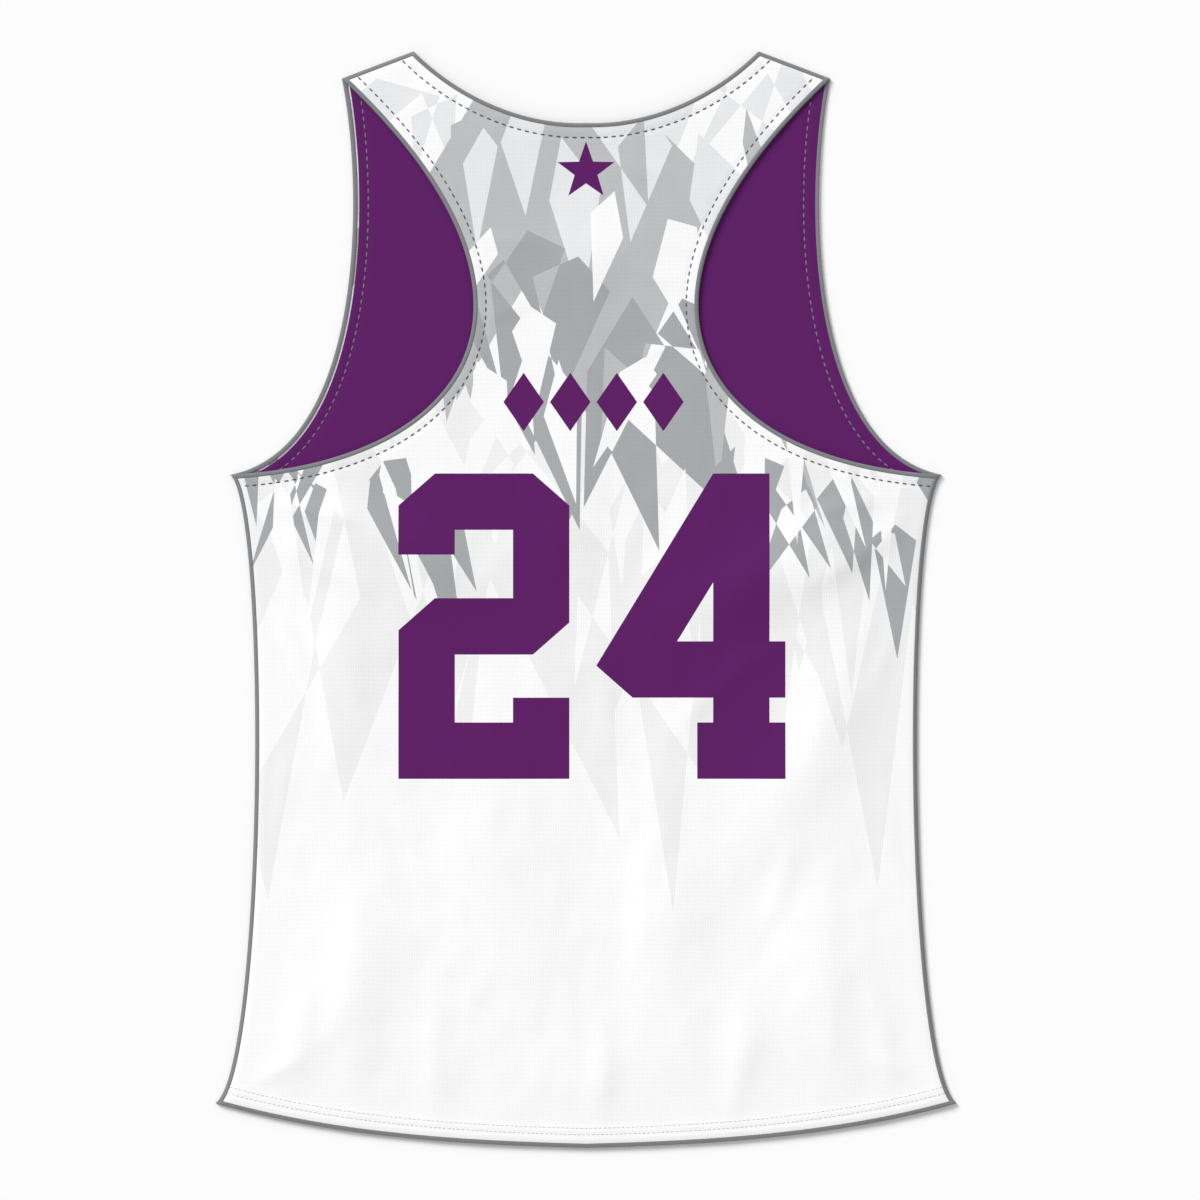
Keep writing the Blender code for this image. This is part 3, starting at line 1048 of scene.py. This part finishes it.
def thread_material(name, colour, pattern, pitch):
    """Thread with the pattern's relief, with painted shade between its turns and a painted highlight on
    their crowns.
    """
    look = Look(name, THREAD_FINISH)
    height = pattern(look, pitch)
    # painted shade and highlight: the colour darkens where the relief is low and lightens where it is
    # high
    look.dye(colour[:3], height, THREAD_PAINTED_SHADING)
    look.raise_up(height, THREAD_STRENGTH)
    return look.material


# ---- The garment ----

def cut_in(whole, insets):
    """A panel's outline: the garment's own, kept in from every edge."""
    depths = insets._asdict()
    sides = np.where(whole.points[:, 0] < 0, "left_", "right_")
    depth = np.array([depths[side + name if name == "armhole" else name]
                      for side, name in zip(sides, whole.names)])
    moved = whole.points + whole.inward * depth[:, None]
    keep = whole.holds(moved, every=1)
    for name in EDGE_NAMES:
        distance, nearest = whole.nearest(moved, (name,))
        keep &= distance >= CUT_KEEP * depth[nearest]
    panel = copy.copy(whole)
    panel.points, panel.names, panel.inward = moved[keep], whole.names[keep], whole.inward[keep]
    panel.along = whole.along[keep]
    panel.trees = {}
    return panel


def panels():
    """The four panels of cloth, from the top down."""
    return (
        Panel("back_outer", cut_in(BACK, OUTER_INSETS), back_heights, BACK_OUTER,
              shards() + marks(), WHITE, WHITE, 3.2 * MM, 0.0, "printed_cloth"),
        Panel("back_inner", cut_in(BACK, BACK_LINING_INSETS), back_heights, BACK_INNER,
              [], PURPLE, PURPLE, 6.0 * MM, 0.0, "purple_cloth"),
        Panel("front_inner", cut_in(FRONT, FRONT_LINING_INSETS), front_heights, FRONT_INNER,
              [], PURPLE, PURPLE, 5.0 * MM, 0.0, "purple_cloth"),
        Panel("front_outer", cut_in(FRONT, OUTER_INSETS), front_heights, FRONT_OUTER,
              shards(), WHITE, None, 6.0 * MM, UNDERSIDE, "printed_cloth"))


def dress(piece, material):
    """Give a piece its material, on the part's one body."""
    piece.data.materials.append(material)
    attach(piece, "root")


def build_cloth():
    """The panels of cloth, each standing for its packed one."""
    materials = {"printed_cloth": cloth_material("printed_knit", PRINTED_FINISH),
                 "purple_cloth": cloth_material("purple_knit", LINING_FINISH, PURPLE)}
    pieces = []
    for panel in panels():
        piece = cloth(panel)
        dress(piece, materials[panel.slot])
        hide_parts(panel.node)
        pieces.append(piece)
    return pieces


BAND_OVER = 0.35 * MM  # the thread's thickness on top of the cloth
BAND_LAP = 0.08 * MM   # a free edge's band lies over a seam's at a corner
BAND_SUNK = 0.15 * MM  # the back's free bands reach this far below the back's lining
HEM_BAND = 1.25 * MM   # the back's hem and its thread together


def back_band_levels(places, name):
    """Where the back's border thread starts and ends, from below."""
    seam, _ = BACK.nearest(places, SEAMS)
    high = back_heights(places, BACK_OUTER) + BAND_OVER + BAND_LAP * (name in FREE_EDGES)
    if name in SEAMS:
        return np.full(len(places), BAND_LAP), high
    if name == "hem":
        low = high - HEM_BAND
    else:
        low = (panel_top(BACK_INNER) - WALL) * pressed(BACK, places) - BAND_SUNK
    return low * rolled(seam), high


def front_band_levels(places, name):
    """The same for the front, whose border lies on the floor."""
    layer = FRONT_OUTER if name == "hem" else FRONT_INNER
    high = panel_top(layer) * pressed(FRONT, places) + 0.5 * BAND_OVER
    return np.zeros(len(places)), high


def build_sewing():
    """Topstitching, the hem's rows and the overedged borders, above and below."""
    grey = thread_material("grey_stitch_thread", STITCH_GREY, spun, PITCH)
    lining = thread_material("lining_stitch_thread", EDGE_GREY, spun, PITCH)
    white = thread_material("white_stitch_thread", HEM_THREAD, spun, FINE_PITCH)
    edge = thread_material("grey_edge_thread", EDGE_GREY, wound, PITCH)

    on_back = partial(back_heights, layer=BACK_OUTER)
    on_front = partial(front_heights, layer=FRONT_INNER)

    def under_front(places):
        return np.full(len(places), UNDERSIDE + STITCH_SUNK)

    back_line = stitch_places(BACK, BACK_ROWS, DASH.pitch)
    front_line = stitch_places(FRONT, FRONT_ROWS, DASH.pitch)
    hem_line = stitch_places(BACK, HEM_ROWS, HEM_STITCH.pitch)
    back_bands = [band(BACK, name, line, back_band_levels) for name, line in paths_of(BACK_EDGES)]
    front_bands = [band(FRONT, name, line, front_band_levels)
                   for name, line in paths_of(FRONT_EDGES) if name in FREE_EDGES]
    pieces = [
        (stitches("back_topstitch", back_line, on_back, DASH), grey),
        (stitches("front_topstitch", front_line, on_front, DASH), lining),
        (stitches("front_topstitch_outside", front_line, under_front, DASH, up=-1), grey),
        (stitches("back_hem_rows", hem_line, on_back, HEM_STITCH), white),
        (stitches("front_hem_rows", hem_line, under_front, HEM_STITCH, up=-1), white),
        (border("back_edge_thread", back_bands), edge),
        (border("front_edge_thread", front_bands), edge)]
    for piece, material in pieces:
        dress(piece, material)


# ---- The studio ----

VIEW_WIDTH = 0.800     # what the photo's frame spans at the garment
VIEW_CENTRE = (0.0093, -0.0003)
LENS, SENSOR = 135, 36
FLOOR_SIZE = 40.0
FLOOR_DROP = 0.1 * MM  # the floor lies this far below the garment
FLOOR_FINISH = {"Base Color": (0.97, 0.97, 0.97, 1.0), "Roughness": 0.9, "Specular IOR Level": 0.1}
SKY = {"Color": (1.0, 1.0, 1.0, 1.0), "Strength": 0.55}  # the room's even light
KEY_STRENGTH = 2.6
KEY_HEIGHT = 34        # the key light's height over the floor, in degrees
KEY_HEADING = 222      # and where it comes from: the upper left
KEY_SPREAD = 28        # how wide it looks, in degrees


def build_studio():
    """A pale floor, soft light and a camera that looks straight down."""
    scene = bpy.context.scene
    bpy.ops.mesh.primitive_plane_add(size=FLOOR_SIZE, location=(0, 0, -FLOOR_DROP))
    floor = bpy.context.object
    floor.name = "floor"
    pale = bpy.data.materials.new("pale_floor")
    pale.use_nodes = True
    set_inputs(pale.node_tree.nodes["Principled BSDF"], FLOOR_FINISH)
    floor.data.materials.append(pale)

    world = bpy.data.worlds.new("studio")
    world.use_nodes = True
    set_inputs(world.node_tree.nodes["Background"], SKY)
    scene.world = world

    key = bpy.data.lights.new("key", "SUN")
    key.angle = math.radians(KEY_SPREAD)
    key.energy = KEY_STRENGTH
    lamp = linked("key", key)
    lamp.rotation_euler = (math.radians(90 - KEY_HEIGHT), 0, math.radians(KEY_HEADING))

    camera = bpy.data.cameras.new("camera")
    camera.lens = LENS
    camera.sensor_width = SENSOR
    camera.clip_end = FLOOR_SIZE
    eye = linked("camera", camera)
    eye.location = (*VIEW_CENTRE, VIEW_WIDTH * LENS / SENSOR)
    scene.camera = eye
    scene.view_settings.view_transform = "Standard"


cloths = build_cloth()
build_sewing()
build_studio()
